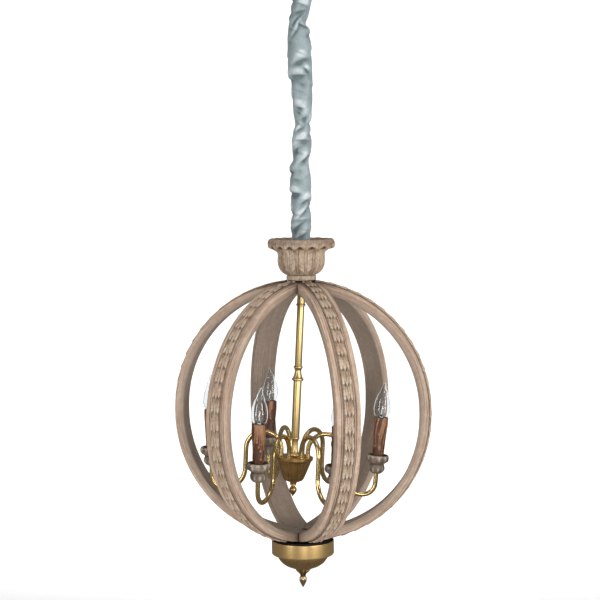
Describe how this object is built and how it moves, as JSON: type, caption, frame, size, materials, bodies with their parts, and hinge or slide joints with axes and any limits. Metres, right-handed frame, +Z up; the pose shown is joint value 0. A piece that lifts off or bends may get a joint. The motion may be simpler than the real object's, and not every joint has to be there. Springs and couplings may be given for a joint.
{
  "type": "orb chandelier",
  "caption": "Hanging orb chandelier: wooden rib cage round a brass candelabra with candle bulbs, on a chain in a ruched cloth sleeve from a round ceiling canopy.",
  "frame": {"origin": "centre of the ceiling strap's top face, on the ceiling", "axes": "+Z up into the ceiling, along the hanging axis; +X along the strap, to the viewer's right; -Y towards the viewer"},
  "size_m": [0.5376, 0.5206, 1.3425],
  "materials": {
    "plated_steel": "zinc plated, thin yellow tint",
    "antique_brass": "antique, slightly dull",
    "sleeve_cloth": "pale blue-grey satin velvet, crushed",
    "limed_wood": "limed and weathered, matt",
    "black_steel": "satin black",
    "dark_brass": "dark antique, cast",
    "satin_brass": "satin, light brushing",
    "weathered_cup": "turned, grey-brown weathered",
    "drip_resin": "amber-brown resin with drips",
    "socket_plastic": "dark brown",
    "clear_glass": "clear"
  },
  "bodies": {
    "ceiling": {"canopy_strap": "plated_steel", "canopy_nipple": "plated_steel", "canopy_lock_nut": "plated_steel", "canopy_dome": "antique_brass", "canopy_collar": "antique_brass", "canopy_loop": "antique_brass"},
    "top_link": {"top_link": "antique_brass"},
    "chain": {"chain_links": "antique_brass", "fabric_sleeve": "sleeve_cloth"},
    "bottom_link": {"bottom_link": "antique_brass"},
    "orb": {"acorn_finial": "satin_brass", "arm_1": "satin_brass", "arm_2": "satin_brass", "arm_3": "satin_brass", "arm_4": "satin_brass", "arm_5": "satin_brass", "arm_6": "satin_brass", "arm_nuts": "plated_steel", "bottom_cup": "satin_brass", "bottom_disc": "black_steel", "bottom_rib_screws": "plated_steel", "candle_cups": "weathered_cup", "candle_sleeves": "drip_resin", "cup_nut": "plated_steel", "garland_1": "limed_wood", "garland_2": "limed_wood", "garland_3": "limed_wood", "garland_4": "limed_wood", "garland_5": "limed_wood", "garland_6": "limed_wood", "hang_loop": "antique_brass", "hub_bowl": "dark_brass", "hub_finial": "dark_brass", "hub_plate": "dark_brass", "hub_tie": "plated_steel", "lampholders": "socket_plastic", "petal_collar": "satin_brass", "rib_1": "limed_wood", "rib_2": "limed_wood", "rib_3": "limed_wood", "rib_4": "limed_wood", "rib_5": "limed_wood", "rib_6": "limed_wood", "stem_base": "satin_brass", "stem_ferrule": "satin_brass", "stem_knuckle": "satin_brass", "stem_lower_tube": "satin_brass", "stem_upper_tube": "satin_brass", "tie_rod": "plated_steel", "tie_rod_nuts": "plated_steel", "top_cup": "limed_wood", "top_plate": "black_steel", "top_rib_screws": "plated_steel", "top_rod": "plated_steel"},
    "bulb_1_lamp": {"bulb_1": "clear_glass"},
    "bulb_2_lamp": {"bulb_2": "clear_glass"},
    "bulb_3_lamp": {"bulb_3": "clear_glass"},
    "bulb_4_lamp": {"bulb_4": "clear_glass"},
    "bulb_5_lamp": {"bulb_5": "clear_glass"},
    "bulb_6_lamp": {"bulb_6": "clear_glass"}
  },
  "joints": [
    {"name": "chain_swing_front", "type": "hinge", "parent": "ceiling", "child": "top_link", "pos_m": [0, 0, -0.07125], "axis": [1, 0, 0], "range_deg": [-20, 20]},
    {"name": "chain_swing_side", "type": "hinge", "parent": "top_link", "child": "chain", "pos_m": [0, 0, -0.09145], "axis": [0, 1, 0], "range_deg": [-20, 20]},
    {"name": "orb_swing_side", "type": "hinge", "parent": "chain", "child": "bottom_link", "pos_m": [0, 0, -0.62965], "axis": [0, 1, 0], "range_deg": [-12, 12]},
    {"name": "orb_swing_front", "type": "hinge", "parent": "bottom_link", "child": "orb", "pos_m": [0, 0, -0.65035], "axis": [1, 0, 0], "range_deg": [-12, 12]},
    {"name": "bulb_1_unscrew", "type": "slide", "parent": "orb", "child": "bulb_1_lamp", "axis": [0.0044, 0.0015, 1], "range_m": [0, 0.028]},
    {"name": "bulb_2_unscrew", "type": "slide", "parent": "orb", "child": "bulb_2_lamp", "axis": [0.0299, -0.0397, 0.9988], "range_m": [0, 0.028]},
    {"name": "bulb_3_unscrew", "type": "slide", "parent": "orb", "child": "bulb_3_lamp", "axis": [0.0691, -0.0382, 0.9969], "range_m": [0, 0.028]},
    {"name": "bulb_4_unscrew", "type": "slide", "parent": "orb", "child": "bulb_4_lamp", "axis": [0.0915, -0.0015, 0.9958], "range_m": [0, 0.028]},
    {"name": "bulb_5_unscrew", "type": "slide", "parent": "orb", "child": "bulb_5_lamp", "axis": [0.0735, 0.0353, 0.9967], "range_m": [0, 0.028]},
    {"name": "bulb_6_unscrew", "type": "slide", "parent": "orb", "child": "bulb_6_lamp", "axis": [0.0337, 0.0412, 0.9986], "range_m": [0, 0.028]}
  ]
}
